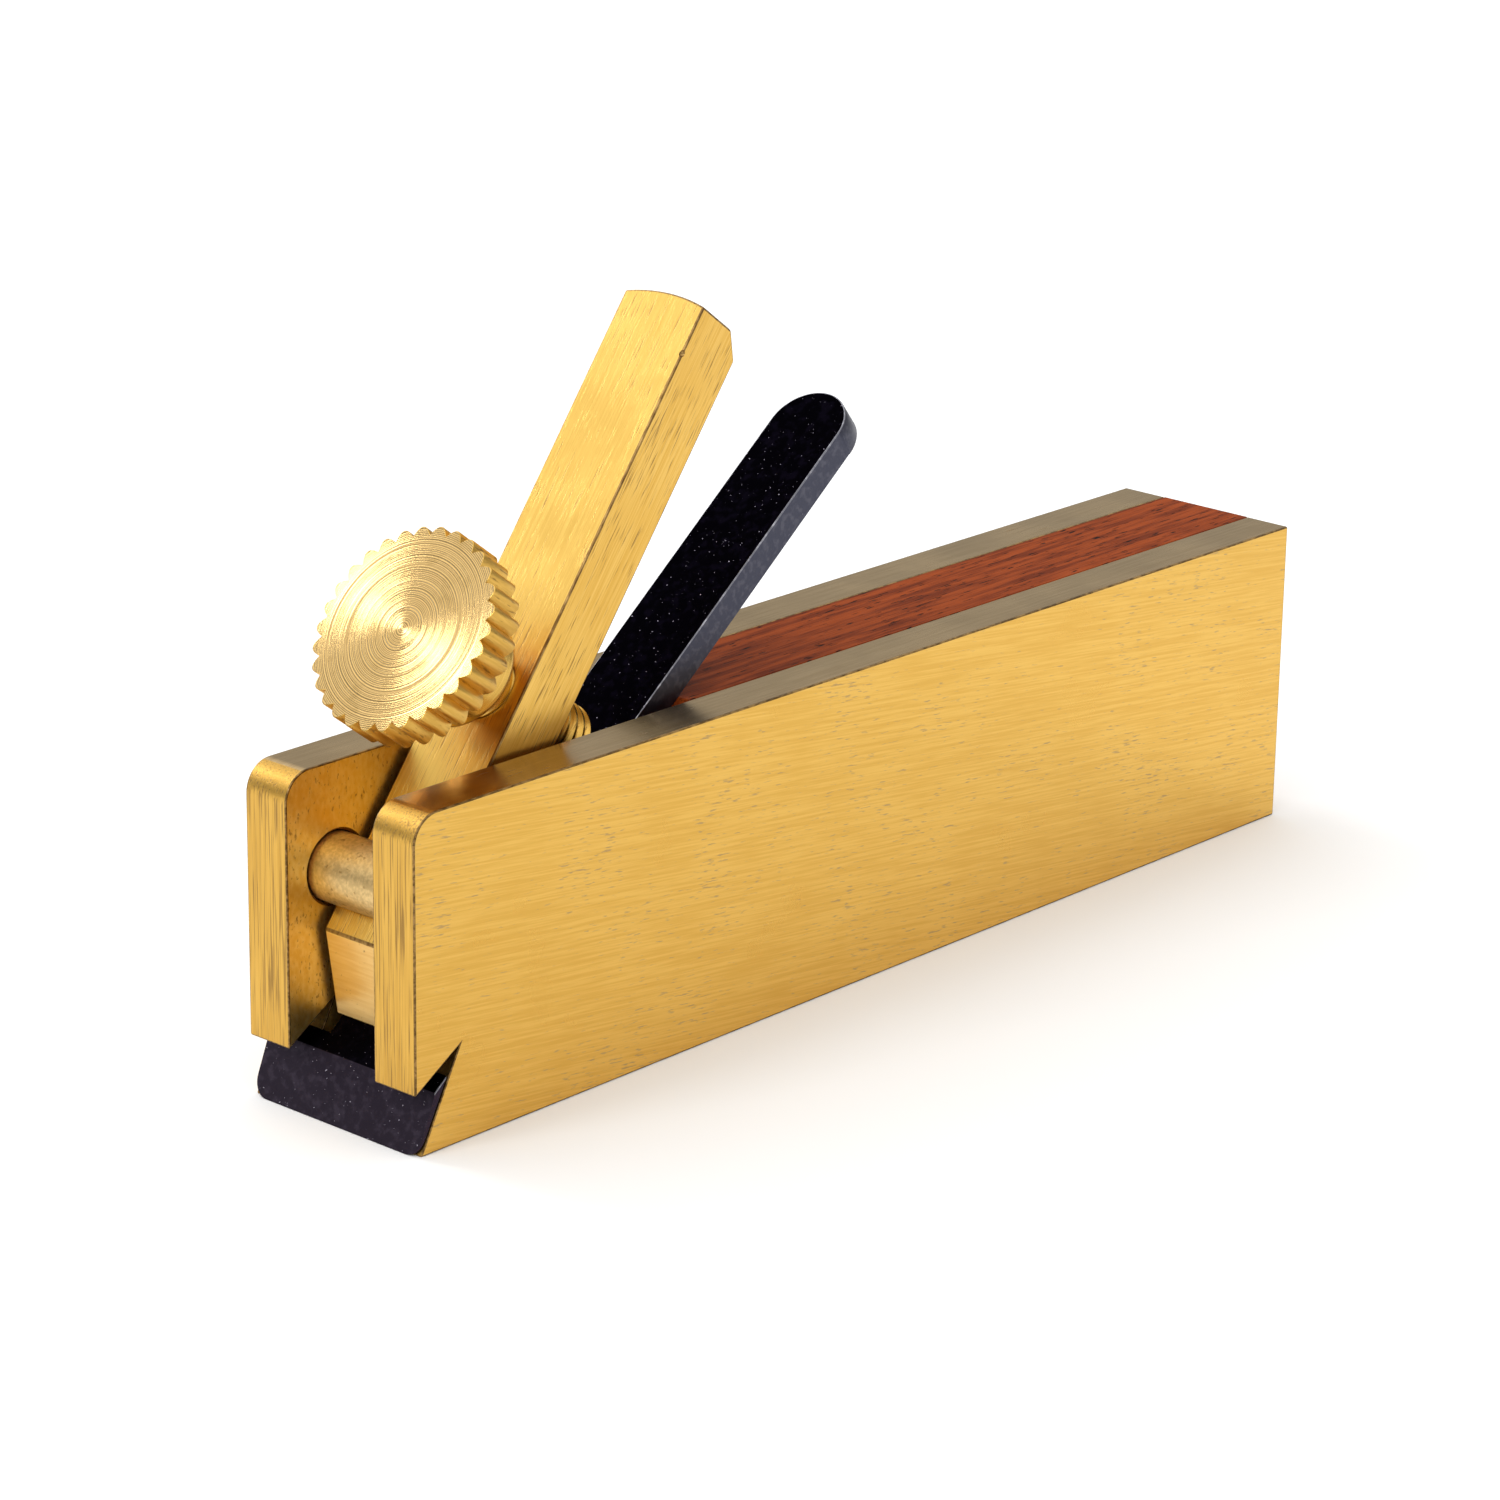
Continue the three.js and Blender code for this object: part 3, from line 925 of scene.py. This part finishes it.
    def build(self) -> dict[str, Solid]:
        """Builds the meshes of the pieces that show.

        Returns:
            Each piece's solid, by its node.
        """
        radius, spot = self._bar_of("fulcrum_pin")
        end = self.inner + self.seat_depth - self.seat_end_gap
        pin = Solid.bar(radius, -end, end, SHOWN_FLATS, self.seat_chamfer).lay_across(spot)
        return {
            "right_cheek": self.cheek(1),
            "left_cheek": self.cheek(-1),
            "sole_bar": self.core(0, self.sole_height, self.sole_tip),
            "rosewood_infill": self.core(self.sole_height, self.height, 0),
            "fulcrum_pin": pin,
        }

    def dress(self, solids: dict[str, Solid]) -> None:
        """Places the pieces with their finishes, and dresses the hidden dowels.

        Args:
            solids: The pieces' solids.
        """
        lay = self.bearing.lay
        side = Brass("belt_finished_side", lay((0.1, 4.5, 0.1), -self.streak_fall),
                     tone=(0.70, 0.405, 0.078), pale_tone=(0.79, 0.485, 0.11),
                     fleck_tone=(0.47, 0.32, 0.14), flecks=0.35, fleck_size=(0.11, 0.9, 0.11),
                     roughness=0.3, depth=0.006)
        cheek_finishes = {
            Zone.MAIN: side,
            Zone.SIDE: side,
            # The top strips are smoother brass; their dim grey-olive tone is a painted reflection of the
            # grey room that they mirror at a low angle.
            Zone.TOP: Brass("smooth_top_strip", lay((0.2, 6, 0.2)), tone=(0.53, 0.36, 0.16),
                            pale_tone=(0.61, 0.43, 0.21), flecks=0.1, roughness=0.22, depth=0.003),
            Zone.FRONT: Brass("filed_front_face", lay((0.1, 0.1, 10.0)), tone=(0.60, 0.34, 0.065),
                              pale_tone=(0.72, 0.43, 0.09), flecks=0.7, fleck_size=(0.1, 0.1, 5.0),
                              roughness=0.34, depth=0.006),
            Zone.INNER: Brass("inner_cheek_face", lay((0.3, 0.3, 0.5)), flecks=0.4,
                              tone=(0.84, 0.57, 0.15), pale_tone=(0.93, 0.69, 0.25),
                              fleck_tone=(0.42, 0.25, 0.07),
                              fleck_size=(0.16, 0.16, 0.3), roughness=0.38, cloud=1.6),
            # The mouth's downward faces are brass painted near-black with a purple cast: painted shade
            # inside the mouth.
            Zone.MOUTH: Oxide("sooted_mouth_wall", lay((0.3, 1.0, 0.3)), tone=(0.034, 0.022, 0.038),
                              bloom_tone=(0.045, 0.03, 0.046), wear=0.1, roughness=0.55),
            Zone.ARRIS: Brass("tarnished_arris", lay((0.2, 0.5, 0.2)), tone=(0.13, 0.075, 0.025),
                              pale_tone=(0.38, 0.23, 0.08), flecks=0.4, roughness=0.42),
        }
        place(solids, "right_cheek", "brushed_brass", self.bearing, cheek_finishes)
        place(solids, "left_cheek", "brushed_brass", self.bearing, cheek_finishes)
        place(solids, "sole_bar", "brushed_brass", self.bearing, {Zone.MAIN: side})
        wood = Rosewood("oiled_rosewood", lay((0.5, 9, 0.5)))
        place(solids, "rosewood_infill", "rosewood", self.bearing, {Zone.MAIN: wood})
        pin = Brass("dull_pin_brass", lay((0.2, 0.2, 0.2)), tone=(0.58, 0.40, 0.17),
                    pale_tone=(0.76, 0.54, 0.24), flecks=0.45, fleck_size=(0.5, 0.4, 0.4), roughness=0.4)
        place(solids, "fulcrum_pin", "dull_brass", self.bearing, {Zone.MAIN: pin})
        for node, body in frame["nodes"].items():
            if node.endswith(DOWEL):
                body.data.materials.clear()
                body.data.materials.append(pin.material())
                log.info("%s: kept from the frame", node)


# ---------- Cutting iron ----------


@dataclass
class Iron:
    """The cutting iron: a head as wide as the body, and a tang with a round end.

    Attributes:
        thickness: Its thickness.
        bevel_angle: The angle of its ground bevel, in degrees.
        land: The length of the flat under its edge.
        shoulder: How far up its top face the rear shoulder is.
        corner_radius: The round of the edge's corners.
        tang_width: The width of the tang.
        length: The length of its underside, from the edge to the round end.
        arris: The width of the eased edges.
        bearing: Its working frame, whose y axis goes up the bed.
    """

    thickness: float = 1.8
    bevel_angle: float = 30.0
    land: float = 0.23
    shoulder: float = 4.216
    corner_radius: float = 1.0
    tang_width: float = 5.0
    length: float = 51.2
    arris: float = 0.07
    bearing: Bearing = field(init=False)

    def __post_init__(self) -> None:
        """Reads the place of its edge and its lean from the frame."""
        low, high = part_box("cutting_iron")
        self.bearing = Bearing(low.y, low.z, lean_of(joint("iron_slide")["axis"]) - 90)
        self.half_head = (high.x - low.x) / 2 / MM

    def build(self) -> dict[str, Solid]:
        """Builds the iron, with its working frame's y axis up the bed.

        Returns:
            Its solid, by its node.
        """
        head, tang, round_ = self.half_head, self.tang_width / 2, self.corner_radius
        plan = (arc((head - round_, round_), round_, -90, 0, CORNER_FLATS)
                + [(head, self.shoulder), (tang, self.shoulder)]
                + arc((0, self.length - tang), tang, 0, 180, SHOWN_FLATS // 2)
                + [(-tang, self.shoulder), (-head, self.shoulder)]
                + arc((-head + round_, round_), round_, 180, 270, CORNER_FLATS))
        ridge = self.thickness / math.tan(math.radians(self.bevel_angle))
        wings = [(0, 0), (self.land, 0), (self.shoulder, self.thickness), (ridge, self.thickness)]
        back = self.length + OVERLAP
        bar = [(0, 0), (back, 0), (back, self.thickness), (ridge, self.thickness)]
        sections = Solid.across(wings, -head, head)
        sections.join(Solid.across(bar, -tang, tang), Join.ADD)
        iron = Solid.raised(plan, -OVERLAP, self.thickness + OVERLAP)
        iron.join(sections, Join.KEEP)
        iron.merge_flats()
        iron.bevel(self.arris, 2, lambda edge: sharp(edge) and self._eased(edge), Zone.ARRIS)
        iron.paint(Zone.TOP, lambda normal, centre: normal.z > SQUARE)
        iron.paint(Zone.FRONT, lambda normal, centre: normal.y < -TILTED and normal.z > TILTED)
        iron.paint(Zone.SIDE, lambda normal, centre: centre.y < self.shoulder)
        return {"cutting_iron": iron}

    def _eased(self, edge: bmesh.types.BMEdge) -> bool:
        """Whether an edge is eased: an outer corner behind the cutting edge, but no thin wedge."""
        behind = all(v.co.y > self.corner_radius + self.arris for v in edge.verts)
        return behind and edge.calc_face_angle(0) < WEDGE_ANGLE

    def dress(self, solids: dict[str, Solid]) -> None:
        """Places the iron with its finishes.

        Args:
            solids: Its solid.
        """
        lay = self.bearing.lay
        place(solids, "cutting_iron", "blackened_steel", self.bearing, {
            Zone.MAIN: Oxide("iron_side", lay((0.3, 1.2, 0.3)), tone=(0.062, 0.064, 0.09),
                             bloom_tone=(0.10, 0.10, 0.13), wear=0.1, roughness=0.4),
            Zone.TOP: Oxide("iron_face", lay((0.05, 1.4, 0.3)), wear=0.3, glance=0.3),
            Zone.FRONT: Oxide("iron_bevel", lay((0.12, 0.12, 0.12)), tone=(0.028, 0.021, 0.033),
                              bloom_tone=(0.045, 0.035, 0.052), wear=0.3, roughness=0.5),
            # The head's sides sit in the mouth and take the mouth walls' near-black purple, darker than the
            # iron's other sides: painted shade on the blackened steel.
            Zone.SIDE: Oxide("iron_head_side", lay((0.3, 1.2, 0.3)), tone=(0.034, 0.022, 0.038),
                             bloom_tone=(0.042, 0.028, 0.046), wear=0.1, roughness=0.5),
            Zone.ARRIS: Oxide("iron_arris", lay((0.3, 1.0, 0.3)), tone=(0.22, 0.22, 0.25),
                              bloom_tone=(0.5, 0.5, 0.55), wear=0.5, roughness=0.35),
        })


# ---------- Lever cap ----------


@dataclass
class Lever:
    """The lever cap: a square bar that bears on the iron with its toe and hooks under the pin.

    Attributes:
        thickness: Its thickness.
        width: Its width.
        top: How far its top end is above the pin's foot.
        top_chamfer: The chamfer behind that end.
        end_rise: How far the end's shallow arc rises across the width.
        toe_reach: How far the toe is below the pin's foot.
        toe_depth: The depth of the toe's flat.
        nose_angle: The angle of the nose face, in degrees.
        pin_rise: How far the pin's centre is above the front face.
        groove_gap: The gap round the pin.
        thread_gap: The gap round the stud.
        arris: The width of the eased edges.
        nick_radius: The size of the nick in the right front arris.
        nick_down: How far the nick is below the top end.
        bearing: Its working frame, whose y axis goes up its front face.
    """

    thickness: float = 4.1
    width: float = 5.8
    top: float = 35.85
    top_chamfer: float = 1.65
    end_rise: float = 0.37
    toe_reach: float = 6.853
    toe_depth: float = 0.39
    nose_angle: float = 45.8
    pin_rise: float = 0.84
    groove_gap: float = 0.1
    thread_gap: float = 0.05
    arris: float = 0.12
    nick_radius: float = 0.22
    nick_down: float = 3.2
    bearing: Bearing = field(init=False)

    def __post_init__(self) -> None:
        """Reads the pin's place, the lean and the screw's place from the frame."""
        _, pin_y, pin_z = joint("lever_rock")["pos_m"]
        axis = Vector(joint("knob_turn")["axis"])
        self.lean = lean_of(axis)
        foot = Vector((0, pin_y, pin_z)) - axis * self.pin_rise * MM
        self.bearing = Bearing(foot.y, foot.z, self.lean)
        screw = Vector(joint("knob_turn")["pos_m"])
        self.screw_up = (screw - foot).length / MM
        low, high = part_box("fulcrum_pin")
        self.pin_radius = (high.z - low.z) / 2 / MM
        low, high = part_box("threaded_stud")
        self.stud_radius = (high.x - low.x) / 2 / MM
        self.bed_lean = lean_of(joint("iron_slide")["axis"]) - 90

    def build(self) -> dict[str, Solid]:
        """Builds the lever, with its working frame's y axis up its front face.

        Returns:
            Its solid, by its node.
        """
        depth, half = self.thickness, self.width / 2
        nose = -self.toe_reach + (depth - self.toe_depth) / math.tan(math.radians(self.nose_angle))
        heel = -self.toe_reach + self.toe_depth / math.tan(math.radians(self.lean - self.bed_lean))
        outline = [(nose, 0), (-self.toe_reach, self.toe_depth - depth), (heel, -depth),
                   (self.top - self.top_chamfer, -depth), (self.top, self.top_chamfer - depth),
                   (self.top, 0)]
        bar = Solid.across(outline, -half, half)
        radius = (half * half + self.end_rise ** 2) / (2 * self.end_rise)
        sweep = math.degrees(math.asin(half / radius))
        foot = -self.toe_reach - OVERLAP
        plan = [(-half, foot), (half, foot)] + arc((0, self.top - radius), radius, 90 - sweep, 90 + sweep,
                                                   SHALLOW_FLATS)
        bar.join(Solid.raised(plan, -depth - OVERLAP, OVERLAP), Join.KEEP)
        bar.bevel(self.arris, 2, sharp, Zone.ARRIS)
        bar.paint(Zone.TOP, lambda normal, centre: normal.z > SQUARE)
        bar.paint(Zone.FRONT, lambda normal, centre: normal.y < -TILTED)
        bar.paint(Zone.SIDE, lambda normal, centre: abs(normal.x) > SQUARE)
        nick = Solid()
        bmesh.ops.create_icosphere(nick.bm, subdivisions=2, radius=self.nick_radius)
        nick.move(Matrix.Translation((half, self.top - self.nick_down, 0)))
        bar.join(nick.coat(Zone.ARRIS), Join.CUT)
        groove = Solid.bar(self.pin_radius + self.groove_gap, -half - OVERLAP, half + OVERLAP, SHOWN_FLATS)
        bar.join(groove.lay_across((0, self.pin_rise)), Join.CUT)
        hole = Solid.bar(self.stud_radius + self.thread_gap, -depth - OVERLAP, OVERLAP, SHOWN_FLATS)
        hole.move(Matrix.Translation((0, self.screw_up, 0)))
        bar.join(hole, Join.CUT)
        return {"lever_cap": bar}

    def dress(self, solids: dict[str, Solid]) -> None:
        """Places the lever with its finishes.

        Args:
            solids: Its solid.
        """
        lay = self.bearing.lay
        face = Brass("lever_front_face", lay((0.09, 9, 0.09)), flecks=0.55, fleck_size=(0.08, 2.4, 0.08),
                     tone=(0.68, 0.42, 0.09), pale_tone=(0.78, 0.51, 0.125), roughness=0.32, depth=0.006)
        place(solids, "lever_cap", "brushed_brass", self.bearing, {
            Zone.MAIN: Brass("lever_end", lay((0.2, 0.2, 0.2)), flecks=0.5, fleck_size=(0.3, 0.3, 0.3)),
            Zone.TOP: face,
            Zone.SIDE: Brass("lever_side", lay((0.1, 8, 0.1)), flecks=0.5, fleck_size=(0.09, 2.0, 0.09),
                             roughness=0.32, depth=0.006),
            Zone.FRONT: Brass("lever_nose", lay((2.5, 0.2, 0.2)), flecks=0.2, tone=(0.82, 0.53, 0.19),
                              pale_tone=(0.90, 0.62, 0.25), roughness=0.4),
            Zone.ARRIS: Brass("lever_arris", lay((0.2, 0.7, 0.2)), tone=(0.17, 0.09, 0.03),
                              pale_tone=(0.42, 0.26, 0.09), flecks=0.5, roughness=0.4),
        })


# ---------- Thumbscrew ----------


@dataclass
class Thumbscrew:
    """The thumbscrew: a threaded stud, and a knob with a collar and a toothed head.

    Attributes:
        stud_radius: The stud's radius over its thread.
        thread_pitch: The thread's pitch.
        thread_depth: The thread's depth.
        crest_share: Half the width of its crest, as a share of its pitch.
        tip: How far the stud's tip is behind the lever's front face.
        tip_radius: The radius of the tip's flat.
        spigot_radius: The radius of the spigot in the knob.
        spigot_gap: The gap round it.
        spigot_end: Where the spigot ends.
        spigot_end_gap: The gap between that end and the floor of the knob's bore.
        root: How far the spigot is sunk into the stud, and the collar into the head.
        collar_base: Where the stud's shoulder is.
        collar_radius: The collar's radius.
        collar_round: The round of the collar's front edge.
        head_base: Where the head starts.
        head_thickness: The head's thickness.
        head_radius: The radius over the teeth.
        teeth: How many teeth there are.
        tooth_depth: Their depth.
        tooth_flats: How many flats each has.
        rim: The width of the eased edge of the head's faces.
        rim_share: How much of that width its first flat rises, and its second one goes in.
        bearing: The screw's working frame, whose z axis goes out of the lever.
    """

    stud_radius: float = 2.0
    thread_pitch: float = 0.7
    thread_depth: float = 0.36
    crest_share: float = 0.12
    tip: float = 8.592
    tip_radius: float = 0.8
    spigot_radius: float = 1.5
    spigot_gap: float = 0.05
    spigot_end: float = 4.7
    spigot_end_gap: float = 0.1
    root: float = 0.5
    collar_base: float = 1.4
    collar_radius: float = 3.4
    collar_round: float = 0.8
    head_base: float = 5.2
    head_thickness: float = 2.24
    head_radius: float = 5.9
    teeth: int = 30
    tooth_depth: float = 0.5
    tooth_flats: int = 12
    rim: float = 0.05
    rim_share: float = 0.7
    bearing: Bearing = field(init=False)

    def __post_init__(self) -> None:
        """Reads the screw's place and lean from the frame."""
        _, y, z = joint("knob_turn")["pos_m"]
        self.bearing = Bearing(y, z, lean_of(joint("knob_turn")["axis"]))

    def stud(self) -> Solid:
        """The stud: a thread wound up its length, a chamfered tip and a plain spigot.

        Returns:
            The solid.
        """
        turns = math.ceil((self.tip + self.collar_base) / self.thread_pitch) + 2
        root, crest, pitch = self.stud_radius - self.thread_depth, self.stud_radius, self.thread_pitch
        start, margin = -self.tip - pitch, 0.2
        flat = self.crest_share * pitch
        profile = [(root, 0), (crest, pitch / 2 - flat), (crest, pitch / 2 + flat), (root, pitch)]
        rod = Solid()
        verts = [rod.bm.verts.new((r, 0, start + h)) for r, h in profile]
        edges = [rod.bm.edges.new(pair) for pair in pairwise(verts)]
        bmesh.ops.spin(rod.bm, geom=verts + edges, cent=(0, 0, 0), axis=(0, 0, 1),
                       dvec=(0, 0, pitch / THREAD_FLATS), angle=2 * math.pi * turns,
                       steps=THREAD_FLATS * turns)
        bmesh.ops.remove_doubles(rod.bm, verts=rod.bm.verts[:], dist=1e-3)
        for height, clear in ((-self.tip - margin / 2, False), (self.collar_base + margin / 2, True)):
            bmesh.ops.bisect_plane(rod.bm, geom=rod.bm.verts[:] + rod.bm.edges[:] + rod.bm.faces[:],
                                   plane_co=(0, 0, height), plane_no=(0, 0, 1),
                                   clear_outer=clear, clear_inner=not clear)
        bmesh.ops.holes_fill(rod.bm, edges=[e for e in rod.bm.edges if e.is_boundary], sides=0)
        rod.close()
        slope = self.stud_radius - self.tip_radius
        wide = self.stud_radius + margin
        envelope = Solid.turned([(0, -self.tip), (self.tip_radius, -self.tip),
                                 (wide, -self.tip + slope + margin), (wide, self.collar_base),
                                 (0, self.collar_base)], SHOWN_FLATS)
        rod.join(envelope, Join.KEEP)
        spigot = Solid.bar(self.spigot_radius, self.collar_base - self.root, self.spigot_end, SHOWN_FLATS)
        rod.join(spigot, Join.ADD)
        return rod

    def knob(self) -> Solid:
        """The knob: a toothed head on a collar, with a blind bore from behind.

        Returns:
            The solid.
        """
        steps = self.teeth * self.tooth_flats
        head = Solid()
        made = bmesh.ops.create_circle(head.bm, cap_ends=True, radius=self.head_radius, segments=steps)
        for vert in made["verts"]:
            angle = math.atan2(vert.co.y, vert.co.x)
            dip = self.tooth_depth * (1 - abs(math.cos(angle * self.teeth / 2)))
            vert.co *= (self.head_radius - dip) / self.head_radius
        bmesh.ops.translate(head.bm, verts=head.bm.verts[:], vec=(0, 0, self.head_base + self.rim))
        head.pull(head.bm.faces[:][0], Vector((0, 0, self.head_thickness - 2 * self.rim)))
        bmesh.ops.recalc_face_normals(head.bm, faces=head.bm.faces[:])
        for way in (-1, 1):
            self._ease_face(head, way)
        head.paint(Zone.TOP, lambda normal, centre: normal.z > SQUARE)
        head.paint(Zone.SIDE, lambda normal, centre: abs(normal.z) < TILTED)
        base = self.collar_base + self.spigot_gap
        bore = self.spigot_radius + self.spigot_gap
        end = self.spigot_end + self.spigot_end_gap
        sunk = self.head_base + self.root
        inside = self.collar_radius - self.collar_round
        profile = ([(0, end), (bore, end), (bore, base)]
                   + arc((inside, base + self.collar_round), self.collar_round, -90, 0, CORNER_FLATS)
                   + [(self.collar_radius, sunk), (0, sunk)])
        head.join(Solid.turned(profile, COLLAR_FLATS), Join.ADD)
        return head

    def _ease_face(self, head: Solid, way: int) -> None:
        """Rounds the edge of one of the head's flat faces.

        Args:
            head: The head.
            way: 1 for the outer face and -1 for the back.
        """
        cap = max(head.bm.faces, key=lambda face: face.normal.z * way * face.calc_area())
        for share in (self.rim_share, 1 - self.rim_share):
            verts, pulled = head.pull(cap, Vector((0, 0, way * share * self.rim)))
            scale = 1 - (1 - share) * self.rim / self.head_radius
            bmesh.ops.scale(head.bm, verts=verts, vec=(scale, scale, 1))
            if cap.is_valid:
                bmesh.ops.delete(head.bm, geom=[cap], context="FACES_ONLY")
            cap = pulled
        bmesh.ops.recalc_face_normals(head.bm, faces=head.bm.faces[:])

    def build(self) -> dict[str, Solid]:
        """Builds the stud and the knob, with their working frame's z axis out of the lever."""
        return {"threaded_stud": self.stud(), "knurled_knob": self.knob()}

    def dress(self, solids: dict[str, Solid]) -> None:
        """Places the stud and the knob with their finishes.

        Args:
            solids: Their solids.
        """
        lay = self.bearing.lay
        bright = Brass("lathe_brass", lay((2.0, 2.0, 0.08)), flecks=0.15, tone=(0.62, 0.37, 0.075),
                       pale_tone=(0.74, 0.46, 0.11), roughness=0.26, depth=0.006)
        place(solids, "threaded_stud", "turned_brass", self.bearing, {Zone.MAIN: bright})
        place(solids, "knurled_knob", "turned_brass", self.bearing, {
            Zone.MAIN: bright,
            Zone.TOP: TurnedBrass("faced_knob", lay((1, 1, 1))),
            Zone.SIDE: Brass("knob_teeth", lay((0.15, 0.15, 1.5)), flecks=0.5,
                             tone=(0.60, 0.35, 0.07), pale_tone=(0.72, 0.44, 0.10),
                             fleck_size=(0.15, 0.15, 0.8), roughness=0.34),
        })


# ---------- Stage ----------


@dataclass(frozen=True)
class Window:
    """A soft rectangular lamp.

    Attributes:
        name: Its name.
        spot: Its place in the row frame, in metres.
        size: Its width and height, in metres.
        power: Its power, in watts.
    """

    name: str
    spot: tuple[float, float, float]
    size: tuple[float, float]
    power: float


@dataclass
class Stage:
    """The floor, the studio light and the camera.

    Attributes:
        floor_half: Half the floor's side, in metres.
        windows: The lamps.
        sky: The room's light, as (height, colour) from low to high.
        camera_place: The camera's place in the row frame, in metres.
        azimuth: The camera's angle round from the front towards the right side, in degrees.
        elevation: Its angle above level, in degrees.
        roll: Its roll, in degrees.
        lens: Its lens, in millimetres.
        sensor: The side of its square sensor, in millimetres.
    """

    floor_half: float = 4.0
    windows: tuple[Window, ...] = (
        Window("left_window", (-0.998, -0.124, 0.447), (0.26, 0.42), 4.4),
        Window("front_window", (-0.205, -0.855, 0.661), (0.24, 0.24), 1.9),
    )
    sky: tuple[tuple[float, Colour], ...] = ((0.33, (0.38, 0.38, 0.37)), (0.72, (1.4, 1.4, 1.4)))
    camera_place: tuple[float, float, float] = (0.1758, -0.2030, 0.1028)
    azimuth: float = 41.595
    elevation: float = 18.692
    roll: float = 0.887
    lens: float = 117.28
    sensor: float = 36

    def build(self) -> None:
        """Makes the floor, the lamps, the sky and the camera."""
        bm = bmesh.new()
        bmesh.ops.create_grid(bm, x_segments=1, y_segments=1, size=self.floor_half)
        mesh = bpy.data.meshes.new("floor")
        bm.to_mesh(mesh)
        bm.free()
        mesh.materials.append(Paper().material())
        floor = bpy.data.objects.new("floor", mesh)
        bpy.context.scene.collection.objects.link(floor)
        for window in self.windows:
            self._lamp(window)
        self._sky()
        self._camera()
        bpy.context.scene.view_settings.view_transform = "Standard"
        log.info("stage ready")

    def _lamp(self, window: Window) -> None:
        """Adds a lamp that faces the plane.

        Args:
            window: The lamp.
        """
        light = bpy.data.lights.new(window.name, "AREA")
        light.shape = "RECTANGLE"
        light.size, light.size_y = window.size
        light.energy = window.power
        lamp = bpy.data.objects.new(window.name, light)
        lamp.matrix_world = (Matrix.Translation(window.spot)
                             @ Vector(window.spot).to_track_quat("Z", "Y").to_matrix().to_4x4())
        bpy.context.scene.collection.objects.link(lamp)

    def _sky(self) -> None:
        """Makes the soft light of the room: dim low behind the heel, and bright overhead."""
        world = bpy.data.worlds.new("room")
        world.use_nodes = True
        bench = Bench(world.node_tree)
        way = bench.node("ShaderNodeTexCoord", {}, {}, "Generated")
        height = bench.node("ShaderNodeSeparateXYZ", {}, {0: way}, "Z")
        light = bench.node("ShaderNodeValToRGB", {"stops": self.sky}, {"Fac": height}, "Color")
        room = bench.node("ShaderNodeBackground", {}, {"Color": light}, "Background")
        bench.add("ShaderNodeOutputWorld", {}, {"Surface": room})
        bpy.context.scene.world = world

    def _camera(self) -> None:
        """Sets the camera."""
        a, e, r = (math.radians(angle) for angle in (self.azimuth, self.elevation, self.roll))
        back = Vector((math.sin(a) * math.cos(e), -math.cos(a) * math.cos(e), math.sin(e)))
        right = Vector((math.cos(a), math.sin(a), 0))
        up = back.cross(right)
        axes = (right * math.cos(r) + up * math.sin(r), up * math.cos(r) - right * math.sin(r), back)
        data = bpy.data.cameras.new("camera")
        data.lens = self.lens
        data.sensor_width = self.sensor
        camera = bpy.data.objects.new("camera", data)
        camera.matrix_world = Matrix.Translation(self.camera_place) @ Matrix(axes).transposed().to_4x4()
        bpy.context.scene.collection.objects.link(camera)
        bpy.context.scene.camera = camera


# ---------- Making ----------


def main() -> None:
    """Builds and dresses each sub-assembly in order, then sets the stage."""
    logging.basicConfig(level=logging.INFO, format="%(message)s")
    for assembly in (Stock(), Iron(), Lever(), Thumbscrew()):
        log.info("making the %s", type(assembly).__name__.lower())
        assembly.dress(assembly.build())
    for swatch in [item for item in bpy.data.materials if item.name.startswith(SWATCH)]:
        bpy.data.materials.remove(swatch)
    Stage().build()


if __name__ == "__main__":
    main()
